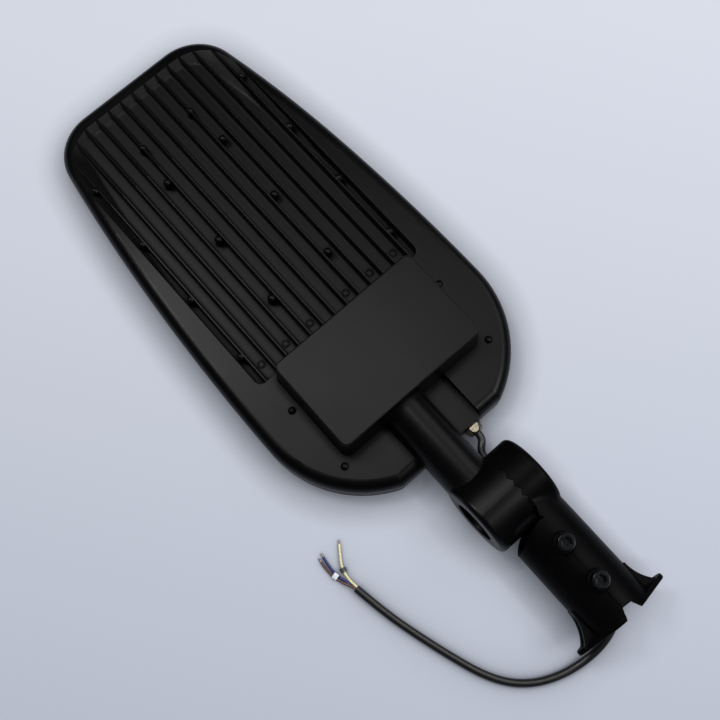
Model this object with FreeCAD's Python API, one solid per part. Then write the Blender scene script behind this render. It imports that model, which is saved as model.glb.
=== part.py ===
"""LED street light head: a finned die-cast housing with a driver box, a toothed knuckle and a pole sleeve.

Millimetres. X runs from the head's tip to the pole end, Y to the cable gland's side, Z up from the
face that gives light. The origin is below the middle of the length, on the plane of that face.
"""
import FreeCAD, Part
import os
from math import acos, atan2, cos, pi, radians, sin, sqrt, tan

V = FreeCAD.Vector
ALONG = V(1, 0, 0)
ACROSS = V(0, 1, 0)
UP = V(0, 0, 1)

# Head casting
head_length = 521.5
head_width = 277.0
widest_from_end = 111.0
tip_corner_radius = 54.0
side_taper = 37.2
side_arcs = 4
rear_radius = 120.0
plateau_height = 36.0
tip_height = 21.5
tip_slope_length = 200.0
rim_rounding = 12.0
casting_wall = 3.5

# Driver box on the head
box_length = 110.0
box_width = 176.0
box_height = 41.0
box_draft = 3.0
box_corner = 9.0
box_to_end = 53.5
box_edge_rounding = 1.6

# Finned recess
recess_floor = 20.0
recess_to_side = 33.5
recess_foot_inset = 27.0
recess_slope_run = 2.5
recess_box_corner = 8.0
fin_pitch = 16.0
fin_root = 3.2
fin_crest = 1.7
fin_top = 33.0

# Screw bosses: first and last in each row, from the box and from the tip
boss_radius = 3.9
boss_top = 33.6
boss_to_recess_side = 6.2
boss_outer_first = 37.6
boss_outer_last = 83.7
boss_inner_y = 37.2
boss_inner_first = 63.4
boss_inner_last = 126.6
boss_tip_y = 32.0
boss_tip_last = 79.1
cover_boss_near = 38.7
cover_boss_near_to_side = 42.1
cover_boss_far = 113.3
cover_boss_far_to_side = 44.7
cover_boss_top = 2.4
boss_dome = 2.3

# Light-giving side
lens_inset = 8.0
seat_clearance = 0.5
lens_thickness = 3.0
lens_depth = 7.0
gasket_thickness = 0.8
gasket_width = 5.0
light_cavity_inset = 14.0
web_underside = 16.0
partition = 8.0
board_thickness = 2.0
board_to_outer_bosses = 10.8
board_from_tip = 36.0
board_to_partition = 9.0
board_corner = 20.0
board_rear_corner = 6.0
chip_size = 5.0
chip_height = 0.8
lens_rows = 4
lens_columns = 10
lens_row_pitch = 42.0
lens_margin = 22.0
lens_bulge_radius = 10.5
lens_bulge_height = 4.2
pillar_radius = 5.0

# Driver compartment and what it holds
cover_inset = 7.0
cover_thickness = 3.0
cover_depth = 3.0
cover_ledge = 7.0
driver_to_box_end = 13.0
driver_width = 62.0
driver_height = 36.0
driver_ear = 9.0
driver_ear_thickness = 3.0
driver_pillar = 6.0
driver_corner = 2.0
terminal_length = 28.0
terminal_width = 20.0
terminal_height = 17.0
terminal_to_notch_wall = 4.5
terminal_to_end = 40.0
terminal_ways = 3
terminal_well = 5.0
lead_diameter = 2.4
lead_exit_height = 6.0
lead_entry_rise = 1.0
lead_last_run = 24.5
lead_spacing = 4.0
# A lead's bends from its exit on the driver: along, out and up, and how far a pair spreads along and out
lead_bends = [(0.0, 5.5, 0.0, 2.0, 0.0), (5.0, 9.0, -3.5, 2.0, 0.5), (16.0, 7.5, -9.0, 1.0, 1.0)]

# Fasteners
small_screw_diameter = 4.0
small_head_diameter = 7.6
small_head_height = 2.4
small_socket = 2.5
screw_clearance = 0.25
screw_tip_cover = 5.0
screw_hole_cover = 4.0
head_edge_rounding = 0.8

# Notch beside the neck, and the neck
notch_half_width = 38.0
notch_floor = 28.0
neck_diameter = 47.0
neck_y = -14.5
neck_bore = 34.0
joint_height = 40.0
neck_solid_end = 4.0

# Toothed knuckle
pivot_reach = 70.0
knuckle_diameter = 77.0
knuckle_width = 76.0
knuckle_rounding = 5.0
tooth_plane_y = 8.0
tooth_count = 24
tooth_depth = 3.4
tooth_ring_inner = 44.0
tooth_gap = 0.2
tooth_relief = 1.4
sleeve_tooth_relief = 0.3
tooth_wall = 3.0
hub_diameter = 33.0
hollow_wall = 5.0
pocket_diameter = 44.0
pocket_depth = 7.0
pivot_bolt_diameter = 12.0
pivot_bolt_clearance = 0.05
pivot_head_diameter = 18.0
pivot_head_height = 9.0
pivot_socket = 10.0
pivot_pocket_diameter = 25.6
pivot_pocket_depth = 12.0
pivot_bolt_past_nut = 2.0
pivot_washer_diameter = 24.0
pivot_washer_thickness = 2.5
pivot_washer_clearance = 0.3
pivot_nut_width = 19.0
pivot_nut_height = 10.0
pivot_nut_clearance = 0.2

# Pole sleeve
flange_reach = 150.5
sleeve_y = 5.0
sleeve_diameter = 67.0
pole_bore = 59.0
sleeve_front_gap = 1.6
sleeve_crease_rounding = 10.0
sleeve_link_clearance = 0.5
sleeve_end_wall = 5.0
flange_thickness = 5.0
flange_hub_radius = 35.0
flange_tip_reach = 53.0
flange_tip_radius = 8.0
flange_rounding = 1.5
slot_reach = 41.0
slot_width = 8.0
slot_length = 12.0
gusset_start = 29.0
gusset_reach = 48.0
gusset_height = 21.0
gusset_gap = 10.0
mouth_notch_bottom = 9.0
mouth_notch_width = 20.0
mouth_notch_depth = 11.0
mouth_notch_off_middle = 4.5
parting_ridge = 1.0
parting_ridge_height = 0.5
clamp_screw_diameter = 10.0
clamp_boss_diameter = 21.5
clamp_boss_height = 6.0
clamp_boss_rounding = 2.0
clamp_clearance = 0.1
clamp_head_diameter = 16.0
clamp_head_height = 7.0
clamp_socket = 8.0
clamp_travel = 3.0
clamp_tip_gap = 0.8
clamp_far_from_flange = 42.0
clamp_spacing = 43.0

# Cable gland in the end wall
gland_y = 26.5
gland_height = 15.2
gland_hex = 17.0
gland_flange = 2.5
gland_thread = 15.2
gland_bore = 9.0
gland_stub_diameter = 12.4
gland_stub = 2.6
gland_seal_diameter = 10.6
gland_seal_length = 2.2
gland_mouth = 0.8
gland_mouth_diameter = 8.6
gland_nut_hex = 15.0
locknut_hex = 17.0
locknut_thickness = 3.0
gland_washer_thickness = 0.9
gland_thread_past_nut = 1.0
gland_hole_clearance = 0.2
gland_fit = 0.05

# Cable and its cores
cable_diameter = 7.8
cable_window_from_pivot = 12.0
cable_window_wall = 1.5
cable_window_width = 12.0
cable_window_low = 33.0
cable_window_high = 14.0
cable_passage_diameter = 12.0
inner_cable_y = 17.2
inner_cable_z = 17.0
passage_z = 20.5
bore_cable_y = 14.0
bore_cable_z = 16.8
bore_cable_end = 30.0
floor_gap = 0.05
# Where each stretch of cable bends: along, across and up. In the head from the gland's mouth
head_bends = [(-35.0, 0.0, 0.0), (-44.0, 4.5, 1.6)]
head_bend_across = 12.0
head_bend_up = 4.6
# From the gland's mouth out
bridge_bends = [
    (4.6, 0.0, 0.0),
    (9.0, -2.3, -0.3),
    (12.6, -6.9, -0.8),
    (18.2, -10.9, -1.4),
    (27.5, -10.9, -1.8),
]
# From under the pivot to both sides
pivot_bends = [(-20.0, -0.8, -3.0), (-10.0, 0.0, -1.0), (0.0, 0.0, 0.0), (10.0, 0.0, 1.0)]
# In the sleeve from the start of its bore
bore_bends = [(-19.1, 0.0, 3.5), (6.0, 0.0, 3.1), (26.0, -1.6, 1.2)]
bore_last_run = 24.0
# Out of the sleeve: beyond the flange, and from the cable's own axis in the bore
mouth_bends = [
    (-21.8, 0.0, 0.0),
    (-11.2, -3.0, -0.1),
    (-1.9, -8.9, -0.7),
    (5.5, -17.0, -2.0),
    (9.9, -29.2, -4.6),
    (12.3, -45.0, -8.8),
]
# On the ground: beyond the flange, and across from the cable's axis in the bore
ground_touch = (11.0, -66.0)
ground_touch_rise = 0.3
ground_bends = [
    (5.4, -87.0),
    (-4.4, -107.0),
    (-20.0, -124.5),
    (-42.0, -138.0),
    (-72.0, -148.8),
    (-109.0, -160.2),
    (-146.0, -169.8),
    (-179.0, -175.0),
]
core_diameter = 2.5
core_pitch = 1.6
wire_diameter = 1.5
bared_length = 4.0
bead_diameter = 6.4
bead_length = 4.0
bead_clearance = 0.25
core_sleeve_length = 5.0
core_sleeve_wall = 0.5
core_straight = 4.0
# Each core's angle in the jacket, and its bends from the jacket's end: along, across and up off the ground
blue_angle = -60
blue_bends = [(-11.0, -3.0, 0.0), (-19.5, -5.4, 0.0), (-31.0, -6.6, 0.0), (-43.5, -4.6, 0.0)]
brown_angle = 60
brown_bends = [(-10.5, -5.4, 2.0), (-19.5, -8.4, 0.0), (-30.5, -10.4, 0.0), (-41.2, -9.1, 0.0)]
earth_angle = 180
earth_bends = [
    (-10.5, 0.3, 1.95),
    (-17.5, 0.9, 1.95),
    (-25.5, 3.2, 1.95),
    (-33.5, 8.6, 0.6),
    (-42.6, 15.2, 0.0),
]

# How far cutting tools reach past what they cut
overshoot = 1.0
cut_reach = 60.0

# Places worked out from the sizes above
total_length = head_length + pivot_reach + flange_reach
tip_x = -total_length / 2
end_x = tip_x + head_length
pivot_x = end_x + pivot_reach
flange_x = pivot_x + flange_reach
widest_x = end_x - widest_from_end
side_run = head_length - widest_from_end
side_radius = (side_run**2 + side_taper**2) / (2 * side_taper)
half_width = head_width / 2
box_x1 = end_x - box_to_end
box_x0 = box_x1 - box_length
box_top = plateau_height + box_height
recess_width = head_width - 2 * recess_to_side
fin_pairs = int((recess_width / 2 - fin_root) / fin_pitch)
fin_field = box_x0 - tip_x
boss_outer_y = recess_width / 2 - boss_to_recess_side
boss_pitch_outer = (fin_field - boss_outer_first - boss_outer_last) / 3
boss_pitch_inner = (fin_field - boss_inner_first - boss_inner_last) / 2
driver_length = box_width - 2 * driver_to_box_end
board_width = 2 * (boss_outer_y - board_to_outer_bosses)
knuckle_radius = knuckle_diameter / 2
knuckle_half = knuckle_width / 2
partition_x = box_x0 - partition / 2
lens_seat_x = partition_x - partition / 2
cover_seat_x = partition_x + partition / 2
lens_top = lens_depth + lens_thickness
lens_ledge = lens_top + gasket_thickness
board_underside = web_underside - board_thickness
cover_top = cover_depth + cover_thickness
cover_seat = cover_top + gasket_thickness
gear_ceiling = plateau_height - casting_wall
sleeve_x0 = pivot_x + knuckle_radius + sleeve_front_gap
bore_x0 = sleeve_x0 + sleeve_end_wall
sleeve_top = joint_height + sleeve_diameter / 2
clamp_boss_top = sleeve_top + clamp_boss_height
clamp_far_x = flange_x - clamp_far_from_flange
clamp_near_x = clamp_far_x - clamp_spacing
pivot_pocket_y = knuckle_half - pivot_pocket_depth
tooth_crest_y = tooth_plane_y + tooth_depth / 2
hollow_y0 = tooth_crest_y + tooth_wall
window_y0 = tooth_crest_y + cable_window_wall
hollow_y1 = knuckle_half - hollow_wall
end_wall = cover_inset + cover_ledge
gland_hex_x = end_x + gland_washer_thickness
gland_stub_x = gland_hex_x + gland_flange
gland_seal_x = gland_stub_x + gland_stub
gland_mouth_x = gland_seal_x + gland_seal_length + gland_mouth
locknut_x = end_x - end_wall - locknut_thickness
terminal_x0 = end_x - terminal_to_end - terminal_width / 2
terminal_y0 = notch_half_width + casting_wall + terminal_to_notch_wall
terminal_y = terminal_y0 + terminal_length / 2
driver_x = (box_x0 + box_x1) / 2
driver_top = box_top - casting_wall - driver_pillar
board_x0 = tip_x + board_from_tip
board_x1 = lens_seat_x - board_to_partition
lens_column_pitch = (board_x1 - board_x0 - 2 * lens_margin) / (lens_columns - 1)
clear_hole = small_screw_diameter + 2 * screw_clearance
screw_tip_z = boss_top - screw_tip_cover
bore_cable_x = flange_x - bore_cable_end

outer_bosses = [
    (box_x0 - boss_outer_first - boss_pitch_outer * i, side * boss_outer_y)
    for i in range(4)
    for side in (-1, 1)
]
inner_bosses = [
    (box_x0 - boss_inner_first - boss_pitch_inner * i, side * boss_inner_y)
    for i in range(3)
    for side in (-1, 1)
]
inner_bosses += [(tip_x + boss_tip_last, side * boss_tip_y) for side in (-1, 1)]
cover_bosses = [
    (box_x0 + along, side * (half_width - to_side))
    for along, to_side in (
        (cover_boss_near, cover_boss_near_to_side),
        (cover_boss_far, cover_boss_far_to_side),
    )
    for side in (-1, 1)
]


def block(x0, x1, y0, y1, z0, z1):
    return Part.makeBox(x1 - x0, y1 - y0, z1 - z0, V(x0, y0, z0))


def rod(diameter, length, x, y, z, axis=UP):
    return Part.makeCylinder(diameter / 2, length, V(x, y, z), axis)


def prism(points, move):
    """A straight-sided solid from a closed run of points, swept by the vector move."""
    wire = Part.makePolygon(points + [points[0]])
    return Part.Face(wire).extrude(move)


def hexagon(across_flats, length, x, y, z, axis):
    """A hexagonal prism that starts at the point and runs along X, Y or Z."""
    corner = across_flats / sqrt(3)
    angles = [radians(60 * i + 30) for i in range(6)]
    points = [V(corner * cos(a), corner * sin(a), 0) for a in angles]
    solid = prism(points, V(0, 0, length))
    solid.Placement = FreeCAD.Placement(V(x, y, z), FreeCAD.Rotation(UP, axis))
    return solid


def arc(start, middle, end):
    return Part.Arc(start, middle, end).toShape()


def save(name, shape):
    shape.exportStep("parts/" + name + ".step")


def head_outline(inset, z):
    """The head's plan, drawn in by inset: straight tip, round corners, long side arcs, rear arcs and end."""
    x_tip = tip_x + inset
    x_end = end_x - inset
    width = half_width - inset
    big = side_radius - inset
    rear = rear_radius - inset
    corner = max(tip_corner_radius - inset, 1.0)
    corner_x = x_tip + corner
    big_y = width - big
    corner_y = big_y + sqrt((big - corner) ** 2 - (widest_x - corner_x) ** 2)
    toward = atan2(corner_y - big_y, corner_x - widest_x)
    rear_y = width - rear
    end_y = rear_y + sqrt(rear**2 - (x_end - widest_x) ** 2)

    def on_circle(cx, cy, radius, angle, side):
        return V(cx + radius * cos(angle), side * (cy + radius * sin(angle)), z)

    edges = []
    for side in (1, -1):
        tip_end = V(x_tip, side * corner_y, z)
        corner_mid = on_circle(corner_x, corner_y, corner, (pi + toward) / 2, side)
        corner_end = on_circle(corner_x, corner_y, corner, toward, side)
        widest = V(widest_x, side * width, z)
        end_angle = atan2(end_y - rear_y, x_end - widest_x)
        rear_mid = on_circle(widest_x, rear_y, rear, (pi / 2 + end_angle) / 2, side)
        end_corner = V(x_end, side * end_y, z)
        edges.append(arc(tip_end, corner_mid, corner_end))
        step = (pi / 2 - toward) / side_arcs
        for i in range(side_arcs):
            span = [on_circle(widest_x, big_y, big, toward + step * (i + k / 2), side) for k in range(3)]
            edges.append(arc(*span))
        edges.append(arc(widest, rear_mid, end_corner))
    edges.append(Part.makeLine(V(x_tip, corner_y, z), V(x_tip, -corner_y, z)))
    edges.append(Part.makeLine(V(x_end, end_y, z), V(x_end, -end_y, z)))
    return Part.Wire(Part.__sortEdges__(edges))


def head_prism(inset, z0, z1):
    return Part.Face(head_outline(inset, z0)).extrude(V(0, 0, z1 - z0))


def rounded_block(x0, x1, half_y, z0, z1, tip_corner, rear_corner):
    """A block with its upright edges rounded, by one radius at the tip end and another at the rear."""
    solid = block(x0, x1, -half_y, half_y, z0, z1)
    middle = (x0 + x1) / 2
    upright = [e for e in solid.Edges if abs(e.Vertexes[0].Z - e.Vertexes[1].Z) > 0.5]
    front = [e for e in upright if e.Vertexes[0].X < middle]
    solid = solid.makeFillet(tip_corner, front)
    rear = [
        e
        for e in solid.Edges
        if abs(e.Vertexes[0].X - x1) < 1e-6
        and abs(e.Vertexes[-1].X - x1) < 1e-6
        and abs(e.Vertexes[0].Z - e.Vertexes[-1].Z) > 0.5
    ]
    return solid.makeFillet(rear_corner, rear)


def tube(points, diameter):
    """A round cord: straight runs joined by tangent arcs as large as the runs allow. Gives its radii too."""
    edges = []
    radii = []
    last = points[0]
    for i in range(1, len(points) - 1):
        before = (points[i - 1] - points[i]).normalize()
        after = (points[i + 1] - points[i]).normalize()
        turn = pi - before.getAngle(after)
        run = min((points[i - 1] - points[i]).Length, (points[i + 1] - points[i]).Length)
        radius = 0.45 * run / tan(turn / 2)
        reach = 0.45 * run
        start = points[i] + before * reach
        end = points[i] + after * reach
        inward = (before + after).normalize()
        centre = points[i] + inward * (radius / cos(turn / 2))
        middle = centre - inward * radius
        edges.append(Part.LineSegment(last, start).toShape())
        edges.append(arc(start, middle, end))
        radii.append(radius)
        last = end
    edges.append(Part.LineSegment(last, points[-1]).toShape())
    path = Part.Wire(edges)
    direction = points[1] - points[0]
    ring = Part.Wire(Part.Circle(points[0], direction, diameter / 2).toShape())
    solid = path.makePipeShell([ring], True, False)
    return solid, radii, path.Length


def toothed_face(y, rise_sign):
    """A solid whose face at plane y is a fan of radial teeth; it fills the side that rise_sign points to."""
    reach = knuckle_radius * 1.3
    half_depth = tooth_depth / 2 * 1.3
    back = y + rise_sign * knuckle_width
    step = pi / tooth_count
    centre = V(pivot_x, y, joint_height)
    rim = []
    base = []
    for i in range(2 * tooth_count):
        angle = step * i
        x = pivot_x + reach * cos(angle)
        z = joint_height + reach * sin(angle)
        height = half_depth if i % 2 else -half_depth
        rim.append(V(x, y + height, z))
        base.append(V(x, back, z))
    faces = []
    count = len(rim)
    for i in range(count):
        j = (i + 1) % count
        faces.append(Part.Face(Part.makePolygon([centre, rim[i], rim[j], centre])))
        faces.append(Part.Face(Part.makePolygon([rim[i], base[i], base[j], rim[j], rim[i]])))
    faces.append(Part.Face(Part.makePolygon(base + [base[0]])))
    solid = Part.Solid(Part.Shell(faces))
    if solid.Volume < 0:
        solid.reverse()
    return solid


def knuckle_drum(y0, y1, rounded_y):
    """A plain drum about the pivot, with its outer rim rounded at the end rounded_y."""
    drum = rod(knuckle_diameter, y1 - y0, pivot_x, y0, joint_height, ACROSS)
    rim = [e for e in drum.Edges if e.BoundBox.YLength < 1e-6 and abs(e.BoundBox.YMin - rounded_y) < 1e-6]
    return drum.makeFillet(knuckle_rounding, rim)


def head_body():
    """The head's outer form: its plan swept up, sloping down to the tip, with its upper rim rounded."""
    body = head_prism(0, 0, plateau_height)
    slope_start = tip_x + tip_slope_length
    drop = plateau_height - tip_height
    slope_radius = (tip_slope_length**2 + drop**2) / (2 * drop)
    beyond = tip_slope_length + rim_rounding
    centre = V(slope_start, 0, plateau_height - slope_radius)

    def on_slope(distance):
        angle = distance / slope_radius
        return V(
            centre.x - slope_radius * sin(angle), -head_width, centre.z + slope_radius * cos(angle)
        )

    high = plateau_height + cut_reach
    start = on_slope(0)
    middle = on_slope(beyond / 2)
    end = on_slope(beyond)
    edges = [
        arc(start, middle, end),
        Part.makeLine(end, V(end.x, end.y, high)),
        Part.makeLine(V(end.x, end.y, high), V(start.x, start.y, high)),
        Part.makeLine(V(start.x, start.y, high), start),
    ]
    slope = Part.Face(Part.Wire(edges)).extrude(ACROSS * (2 * head_width))
    body = body.cut(slope)
    return body.makeFillet(rim_rounding, upper_rim(body))


def upper_rim(body):
    """The edges round the top of the head, between its side wall and its back."""
    found = []
    for edge in body.Edges:
        touching = body.ancestorsOfType(edge, Part.Face)
        side = [f for f in touching if f.normalAt(*mid_parameters(f)).z < 0.5]
        top = [f for f in touching if f.normalAt(*mid_parameters(f)).z > 0.8]
        if side and top:
            found.append(edge)
    return found


def mid_parameters(face):
    u0, u1, v0, v1 = face.ParameterRange
    return (u0 + u1) / 2, (v0 + v1) / 2


def fins():
    """Tapered upright fins, a little longer than the recess, to be kept inside it."""
    solids = []
    for i in range(-fin_pairs, fin_pairs + 1):
        y = i * fin_pitch
        x = tip_x
        root = fin_root / 2
        crest = fin_crest / 2
        section = [
            V(x, y - root, recess_floor - overshoot),
            V(x, y + root, recess_floor - overshoot),
            V(x, y + crest, fin_top),
            V(x, y - crest, fin_top),
        ]
        solids.append(prism(section, V(head_length, 0, 0)))
    return solids


def recess():
    """What is taken out of the head's back between the fins: a bowl that runs out towards the tip."""
    top = plateau_height + overshoot
    foot = head_outline(recess_foot_inset, recess_floor)
    mouth = head_outline(recess_foot_inset - recess_slope_run * (top - recess_floor), top)
    bowl = Part.makeLoft([foot, mouth], True, True)
    sides = rounded_block(
        tip_x - overshoot,
        box_x0,
        recess_width / 2,
        recess_floor - overshoot,
        top + overshoot,
        recess_box_corner,
        recess_box_corner,
    )
    bowl = bowl.common(sides)
    for fin in fins():
        bowl = bowl.cut(fin)
    return bowl


def cap(radius, height, x, y, z, axis):
    """A shallow dome that stands on the point and bulges along axis, which is up or down."""
    ball_radius = (radius**2 + height**2) / (2 * height)
    centre = V(x, y, z) + axis * (height - ball_radius)
    return Part.makeSphere(ball_radius, centre).common(rod(2 * radius, height, x, y, z, axis))


def domed_boss(x, y, foot, top):
    """A round boss with a domed top."""
    shoulder = top - boss_dome
    straight = rod(2 * boss_radius, shoulder - foot, x, y, foot)
    return straight.fuse(cap(boss_radius, boss_dome, x, y, shoulder, UP))


def driver_box():
    """The drafted box that stands on the head and takes the driver."""
    foot = rounded_rectangle(box_x0, box_x1, box_width / 2, box_corner, plateau_height - 2.0)
    top = rounded_rectangle(
        box_x0 + box_draft, box_x1 - box_draft, box_width / 2 - box_draft, box_corner - 1.5, box_top
    )
    solid = Part.makeLoft([foot, top], True, True)
    rim = [e for e in solid.Edges if e.BoundBox.ZMin > box_top - 0.01]
    return solid.makeFillet(box_edge_rounding, rim)


def rounded_rectangle(x0, x1, half_y, radius, z):
    solid = rounded_block(x0, x1, half_y, z, z + 1.0, radius, radius)
    bottom = [f for f in solid.Faces if f.BoundBox.ZLength < 1e-6 and abs(f.BoundBox.ZMin - z) < 1e-6]
    return bottom[0].OuterWire


def neck():
    start = box_x1 - box_draft
    length = pivot_x - start
    return rod(neck_diameter, length, start, neck_y, joint_height, ALONG)


def light_cavity():
    """The hollow for the light board, with the lens plate's seat round it and a pillar at each lens screw."""
    low = head_prism(lens_inset - seat_clearance, 0, lens_ledge)
    high = head_prism(light_cavity_inset, lens_ledge - overshoot, web_underside)
    reach = block(tip_x, lens_seat_x, -half_width, half_width, -overshoot, plateau_height)
    inner_x = lens_seat_x - (light_cavity_inset - lens_inset)
    inner_reach = block(tip_x, inner_x, -half_width, half_width, -overshoot, plateau_height)
    low = low.common(reach)
    high = high.common(inner_reach)
    for x, y in outer_bosses:
        high = high.cut(rod(2 * pillar_radius, web_underside, x, y, lens_ledge))
    return low, high


def gear_cavity():
    """The driver compartment: open below for its cover, under the plateau, and up into the box."""
    reach = block(cover_seat_x, end_x, -half_width, half_width, -overshoot, box_top)
    inner_reach = block(cover_seat_x + cover_ledge, end_x, -half_width, half_width, -overshoot, box_top)
    seat = head_prism(cover_inset - seat_clearance, 0, cover_seat).common(reach)
    room = head_prism(end_wall, cover_seat - overshoot, gear_ceiling).common(inner_reach)
    under_notch = block(
        box_x1 - box_draft - casting_wall,
        end_x,
        -notch_half_width - casting_wall,
        notch_half_width + casting_wall,
        notch_floor - casting_wall,
        box_top,
    )
    room = room.cut(under_notch)
    wall = casting_wall + box_draft
    inner_corner = box_corner - casting_wall
    ceiling = box_top - casting_wall
    inside_box = rounded_block(
        box_x0 + wall, box_x1 - wall, box_width / 2 - wall, cover_seat, ceiling, inner_corner, inner_corner
    )
    room = room.fuse(inside_box)
    for x, y in cover_bosses:
        room = room.cut(rod(2 * pillar_radius, box_top, x, y, cover_seat))
    for y in driver_screw_places():
        room = room.cut(rod(2 * pillar_radius, driver_pillar, driver_x, y, driver_top))
    return seat.fuse(room)


def driver_screw_places():
    reach = driver_length / 2 - driver_ear / 2
    return (-reach, reach)


def about_pivot(diameter, y0, y1):
    """A cylinder on the pivot's axis between two places across the knuckle."""
    return rod(diameter, y1 - y0, pivot_x, y0, joint_height, ACROSS)


def housing():
    body = head_body()
    body = body.cut(recess())
    for x, y in outer_bosses + inner_bosses:
        body = body.fuse(domed_boss(x, y, recess_floor - overshoot, boss_top))
    for x, y in cover_bosses:
        foot = plateau_height - overshoot
        body = body.fuse(domed_boss(x, y, foot, plateau_height + cover_boss_top))
    notch_x = box_x1 - box_draft
    notch = block(
        notch_x, end_x + overshoot, -notch_half_width, notch_half_width, notch_floor, box_top
    )
    body = body.cut(notch)
    body = body.fuse([driver_box(), neck()])
    body = body.cut(about_pivot(knuckle_diameter, tooth_plane_y, knuckle_width))
    body = body.fuse(knuckle_drum(-knuckle_half, knuckle_half / 2, -knuckle_half))
    body = body.cut(toothed_face(tooth_plane_y, 1))
    relief_y = tooth_plane_y - tooth_depth / 2 - tooth_relief
    nut_y = -knuckle_half + pocket_depth
    nut_width = pivot_nut_width + 2 * pivot_nut_clearance
    hole = pivot_bolt_diameter + 2 * pivot_bolt_clearance
    body = body.cut(
        [
            about_pivot(tooth_ring_inner, relief_y, knuckle_width),
            about_pivot(pocket_diameter, -knuckle_half, nut_y),
            hexagon(nut_width, pivot_nut_height, pivot_x, nut_y, joint_height, ACROSS),
            about_pivot(hole, -knuckle_half, knuckle_half),
        ]
    )
    neck_hollow_x0 = box_x1 - 2 * box_draft - casting_wall - overshoot
    neck_hollow_x1 = pivot_x - knuckle_radius - neck_solid_end
    neck_hollow = rod(
        neck_bore, neck_hollow_x1 - neck_hollow_x0, neck_hollow_x0, neck_y, joint_height, ALONG
    )
    body = body.cut(neck_hollow)
    low, high = light_cavity()
    body = body.cut(low)
    body = body.cut(high)
    body = body.cut(gear_cavity())
    hole_top = boss_top - screw_hole_cover
    for x, y in outer_bosses:
        body = body.cut(rod(clear_hole, hole_top - lens_ledge, x, y, lens_ledge))
    for x, y in inner_bosses:
        body = body.cut(rod(clear_hole, hole_top - web_underside, x, y, web_underside))
    for x, y in cover_bosses:
        body = body.cut(rod(clear_hole, hole_top - cover_seat, x, y, cover_seat))
    for y in driver_screw_places():
        body = body.cut(rod(clear_hole, driver_pillar, driver_x, y, driver_top))
    gland_hole = gland_thread + 2 * gland_hole_clearance
    length = end_wall + 2 * overshoot
    return body.cut(
        rod(gland_hole, length, end_x - end_wall - overshoot, gland_y, gland_height, ALONG)
    )


def flange_plate():
    """The flat end of the sleeve: a round hub drawn out to a slotted ear on each side."""
    reach = flange_tip_reach - flange_tip_radius
    lean = acos((flange_hub_radius - flange_tip_radius) / reach)
    x = flange_x - flange_thickness

    def at(across, up):
        return V(x, sleeve_y + across, joint_height + up)

    hub_y = flange_hub_radius * cos(lean)
    hub_z = flange_hub_radius * sin(lean)
    ear_y = reach + flange_tip_radius * cos(lean)
    ear_z = flange_tip_radius * sin(lean)
    edges = [
        arc(at(-hub_y, hub_z), at(0, flange_hub_radius), at(hub_y, hub_z)),
        Part.makeLine(at(hub_y, hub_z), at(ear_y, ear_z)),
        arc(at(ear_y, ear_z), at(flange_tip_reach, 0), at(ear_y, -ear_z)),
        Part.makeLine(at(ear_y, -ear_z), at(hub_y, -hub_z)),
        arc(at(hub_y, -hub_z), at(0, -flange_hub_radius), at(-hub_y, -hub_z)),
        Part.makeLine(at(-hub_y, -hub_z), at(-ear_y, -ear_z)),
        arc(at(-ear_y, -ear_z), at(-flange_tip_reach, 0), at(-ear_y, ear_z)),
        Part.makeLine(at(-ear_y, ear_z), at(-hub_y, hub_z)),
    ]
    plate = Part.Face(Part.Wire(edges)).extrude(V(flange_thickness, 0, 0))
    rims = [e for e in plate.Edges if e.BoundBox.XLength < 0.01]
    return plate.makeFillet(flange_rounding, rims)


def gussets(side):
    """Two webs that flare from the sleeve to one ear, with room for a bolt head between them."""
    start_x = flange_x - flange_thickness - gusset_start
    web_x1 = flange_x - flange_thickness / 2
    tube_y = sleeve_diameter / 2
    root_y = (pole_bore + sleeve_diameter) / 4
    rise = gusset_reach - tube_y
    run = web_x1 - start_x
    bend = (run**2 + rise**2) / (2 * rise)
    sweep = atan2(run, bend - rise)

    def at(x, across):
        return V(x, sleeve_y + side * across, joint_height - gusset_height / 2)

    start = at(start_x, tube_y)
    middle = at(start_x + bend * sin(sweep / 2), tube_y + bend * (1 - cos(sweep / 2)))
    end = at(web_x1, gusset_reach)
    edges = [
        arc(start, middle, end),
        Part.makeLine(end, at(web_x1, root_y)),
        Part.makeLine(at(web_x1, root_y), at(start_x, root_y)),
        Part.makeLine(at(start_x, root_y), start),
    ]
    web = Part.Face(Part.Wire(edges)).extrude(V(0, 0, gusset_height))
    gap_y = sleeve_y + side * tube_y
    far_y = sleeve_y + side * (gusset_reach + overshoot)
    gap = block(
        start_x - overshoot,
        flange_x - flange_thickness,
        min(gap_y, far_y),
        max(gap_y, far_y),
        joint_height - gusset_gap / 2,
        joint_height + gusset_gap / 2,
    )
    return web.cut(gap)


def flange_slot(side):
    """A slot through one ear, its length across the sleeve."""
    x = flange_x - flange_thickness - overshoot
    depth = flange_thickness + 2 * overshoot
    reach = (slot_length - slot_width) / 2
    centre = sleeve_y + side * slot_reach
    middle = block(
        x,
        x + depth,
        centre - reach,
        centre + reach,
        joint_height - slot_width / 2,
        joint_height + slot_width / 2,
    )
    ends = [rod(slot_width, depth, x, centre + s * reach, joint_height, ALONG) for s in (-1, 1)]
    return middle.fuse(ends)


def along_sleeve(diameter, x0, x1):
    """A cylinder on the sleeve's axis."""
    return rod(diameter, x1 - x0, x0, sleeve_y, joint_height, ALONG)


def creases(body):
    """The curved edges along which the barrel of the sleeve meets its half of the knuckle."""
    found = []
    for edge in body.Edges:
        flat = [f for f in body.ancestorsOfType(edge, Part.Face) if isinstance(f.Surface, Part.Plane)]
        bounds = edge.BoundBox
        straight = bounds.YLength < 0.1
        if not flat and not straight and pivot_x < bounds.XMin and bounds.XMax < bore_x0:
            found.append(edge)
    return found


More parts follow.
